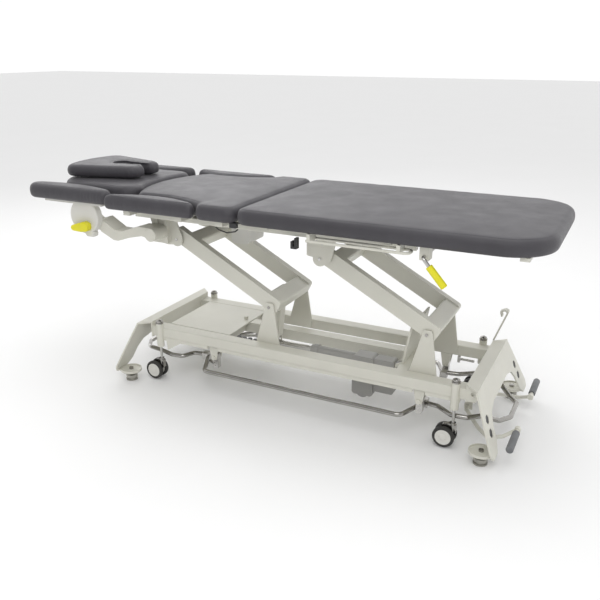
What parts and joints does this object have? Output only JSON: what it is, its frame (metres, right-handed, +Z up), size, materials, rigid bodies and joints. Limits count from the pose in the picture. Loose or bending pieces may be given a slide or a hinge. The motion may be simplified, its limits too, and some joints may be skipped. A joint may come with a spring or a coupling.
{
  "type": "treatment couch",
  "caption": "Height-adjustable sectional treatment couch with parallelogram lift, retractable castors, foot control bar and swing-down arm supports.",
  "frame": {"origin": "floor level under the centre of the couch", "axes": "+X towards the foot end, +Y towards the far side, +Z up"},
  "size_m": [2.112, 0.696, 0.89],
  "materials": {
    "frame_paint": "satin warm off-white powder coat",
    "shell_plastic": "fine textured light plastic",
    "upholstery": "dark grey grained leatherette",
    "yellow_plastic": "satin yellow",
    "chrome_bar": "polished",
    "steel": "zinc plated",
    "grip_rubber": "moulded mid grey",
    "foot_metal": "dull grey",
    "tyre_tread": "dark grey tread",
    "dark_plastic": "black moulded",
    "drive_plastic": "dark grey moulded"
  },
  "bodies": {
    "base": {"rail_near": "frame_paint", "rail_far": "frame_paint", "gable_foot": "frame_paint", "gable_head": "frame_paint", "towers": "frame_paint", "centre_frame": "frame_paint", "tray": "frame_paint", "control_unit": "dark_plastic", "actuator_body": "drive_plastic", "castor_sleeves": "frame_paint", "base_fasteners": "chrome_bar", "levelling_feet": "foot_metal", "bar_brackets": "frame_paint", "hook_strip": "frame_paint"},
    "castor_lift": {"castor_stems": "steel"},
    "pedals": {"pedal_levers": "frame_paint", "pedal_grips": "grip_rubber"},
    "lift_link": {"lift_rod": "steel"},
    "foot_bar": {"bar_near": "chrome_bar", "bar_far": "chrome_bar", "bar_head": "chrome_bar", "bar_foot": "chrome_bar", "bar_clamps": "steel"},
    "arm_foot": {"arm_foot": "frame_paint"},
    "arm_head": {"arm_head": "frame_paint", "head_lever": "frame_paint"},
    "drive_rod": {"actuator_rod": "steel"},
    "upper_frame": {"frame_rails": "frame_paint", "frame_crosses": "frame_paint", "lift_brackets": "frame_paint", "frame_bolts": "steel", "mech_cover": "shell_plastic", "chest_pad": "upholstery", "side_pad_near": "upholstery", "side_pad_far": "upholstery", "black_trim": "dark_plastic"},
    "foot_section": {"foot_pad": "upholstery", "foot_frame": "frame_paint", "loop_rail": "frame_paint"},
    "crank": {"crank_rod": "steel", "crank_grip": "yellow_plastic"},
    "head_section": {"head_pad": "upholstery", "head_plate": "frame_paint"},
    "face_rest": {"face_cushion": "upholstery"},
    "castor_head_near": {"castor_fork_head_near": "chrome_bar"},
    "wheel_head_near": {"castor_wheel_head_near": "tyre_tread"},
    "castor_head_far": {"castor_fork_head_far": "chrome_bar"},
    "wheel_head_far": {"castor_wheel_head_far": "tyre_tread"},
    "castor_foot_near": {"castor_fork_foot_near": "chrome_bar"},
    "wheel_foot_near": {"castor_wheel_foot_near": "tyre_tread"},
    "castor_foot_far": {"castor_fork_foot_far": "chrome_bar"},
    "wheel_foot_far": {"castor_wheel_foot_far": "tyre_tread"},
    "support_near": {"swing_arm_near": "frame_paint"},
    "carrier_near": {"housing_near": "shell_plastic", "arm_pad_near": "upholstery"},
    "lever_near": {"housing_lever_near": "yellow_plastic"},
    "support_far": {"swing_arm_far": "frame_paint"},
    "carrier_far": {"housing_far": "shell_plastic", "arm_pad_far": "upholstery"},
    "lever_far": {"housing_lever_far": "yellow_plastic"}
  },
  "joints": [
    {"name": "lift", "type": "hinge", "parent": "base", "child": "arm_foot", "pos_m": [0.631, 0, 0.386], "axis": [0, 1, 0], "range_deg": [-36, 25]},
    {"name": "lift_head", "type": "hinge", "parent": "base", "child": "arm_head", "pos_m": [-0.009, 0, 0.386], "axis": [0, 1, 0], "range_deg": [-36, 25]},
    {"name": "frame_level", "type": "hinge", "parent": "arm_foot", "child": "upper_frame", "pos_m": [0.211, 0, 0.614], "axis": [0, 1, 0], "range_deg": [-25, 36]},
    {"name": "drive", "type": "slide", "parent": "base", "child": "drive_rod", "axis": [-1, 0, 0], "range_m": [-0.1263, 0.0877]},
    {"name": "foot_raise", "type": "hinge", "parent": "upper_frame", "child": "foot_section", "pos_m": [0.008, 0, 0.775], "axis": [0, 1, 0], "range_deg": [-25, 0]},
    {"name": "release_lever", "type": "hinge", "parent": "foot_section", "child": "crank", "pos_m": [0.651, 0, 0.722], "axis": [0, 1, 0], "range_deg": [0, 25]},
    {"name": "head_tilt", "type": "hinge", "parent": "upper_frame", "child": "head_section", "pos_m": [-0.625, 0, 0.752], "axis": [0, 1, 0], "range_deg": [-20, 0]},
    {"name": "face_lift", "type": "slide", "parent": "head_section", "child": "face_rest", "axis": [0, 0, 1], "range_m": [0, 0.12]},
    {"name": "swing_near", "type": "hinge", "parent": "upper_frame", "child": "support_near", "pos_m": [-0.48, -0.22, 0.65], "axis": [0, 1, 0], "range_deg": [-20, 0]},
    {"name": "level_near", "type": "hinge", "parent": "support_near", "child": "carrier_near", "pos_m": [-0.79, -0.25, 0.7], "axis": [0, 1, 0], "range_deg": [0, 20]},
    {"name": "lever_near", "type": "hinge", "parent": "carrier_near", "child": "lever_near", "pos_m": [-0.774, -0.3, 0.664], "axis": [0, 1, 0], "range_deg": [0, 15]},
    {"name": "swing_far", "type": "hinge", "parent": "upper_frame", "child": "support_far", "pos_m": [-0.48, 0.22, 0.65], "axis": [0, 1, 0], "range_deg": [-20, 0]},
    {"name": "level_far", "type": "hinge", "parent": "support_far", "child": "carrier_far", "pos_m": [-0.79, 0.25, 0.7], "axis": [0, 1, 0], "range_deg": [0, 20]},
    {"name": "lever_far", "type": "hinge", "parent": "carrier_far", "child": "lever_far", "pos_m": [-0.774, 0.3, 0.664], "axis": [0, 1, 0], "range_deg": [0, 15]},
    {"name": "pedal_press", "type": "hinge", "parent": "base", "child": "pedals", "pos_m": [0.785, 0, 0.106], "axis": [0, 1, 0], "range_deg": [0, 18]},
    {"name": "castor_drop", "type": "slide", "parent": "base", "child": "castor_lift", "axis": [0, 0, -1], "range_m": [0, 0.015]},
    {"name": "link_pull", "type": "slide", "parent": "base", "child": "lift_link", "axis": [-1, 0, 0], "range_m": [0, 0.012]},
    {"name": "bar_lift", "type": "slide", "parent": "base", "child": "foot_bar", "axis": [0, 0, 1], "range_m": [0, 0.01]},
    {"name": "swivel_head_near", "type": "hinge", "parent": "castor_lift", "child": "castor_head_near", "pos_m": [-0.503, -0.2125, 0.09], "axis": [0, 0, 1], "continuous": true},
    {"name": "roll_head_near", "type": "hinge", "parent": "castor_head_near", "child": "wheel_head_near", "pos_m": [-0.53, -0.2125, 0.043], "axis": [0, 1, 0], "continuous": true},
    {"name": "swivel_head_far", "type": "hinge", "parent": "castor_lift", "child": "castor_head_far", "pos_m": [-0.503, 0.2125, 0.09], "axis": [0, 0, 1], "continuous": true},
    {"name": "roll_head_far", "type": "hinge", "parent": "castor_head_far", "child": "wheel_head_far", "pos_m": [-0.53, 0.2125, 0.043], "axis": [0, 1, 0], "continuous": true},
    {"name": "swivel_foot_near", "type": "hinge", "parent": "castor_lift", "child": "castor_foot_near", "pos_m": [0.763, -0.2125, 0.09], "axis": [0, 0, 1], "continuous": true},
    {"name": "roll_foot_near", "type": "hinge", "parent": "castor_foot_near", "child": "wheel_foot_near", "pos_m": [0.736, -0.2125, 0.043], "axis": [0, 1, 0], "continuous": true},
    {"name": "swivel_foot_far", "type": "hinge", "parent": "castor_lift", "child": "castor_foot_far", "pos_m": [0.763, 0.2125, 0.09], "axis": [0, 0, 1], "continuous": true},
    {"name": "roll_foot_far", "type": "hinge", "parent": "castor_foot_far", "child": "wheel_foot_far", "pos_m": [0.736, 0.2125, 0.043], "axis": [0, 1, 0], "continuous": true}
  ],
  "couplings": [
    {"joint": "lift_head", "follows": "lift", "ratio": 1},
    {"joint": "frame_level", "follows": "lift", "ratio": -1},
    {"joint": "drive", "follows": "lift", "m_per_rad": 0.20088},
    {"joint": "level_near", "follows": "swing_near", "ratio": -1},
    {"joint": "level_far", "follows": "swing_far", "ratio": -1},
    {"joint": "castor_drop", "follows": "pedal_press", "m_per_rad": 0.0477},
    {"joint": "link_pull", "follows": "pedal_press", "m_per_rad": 0.038}
  ]
}
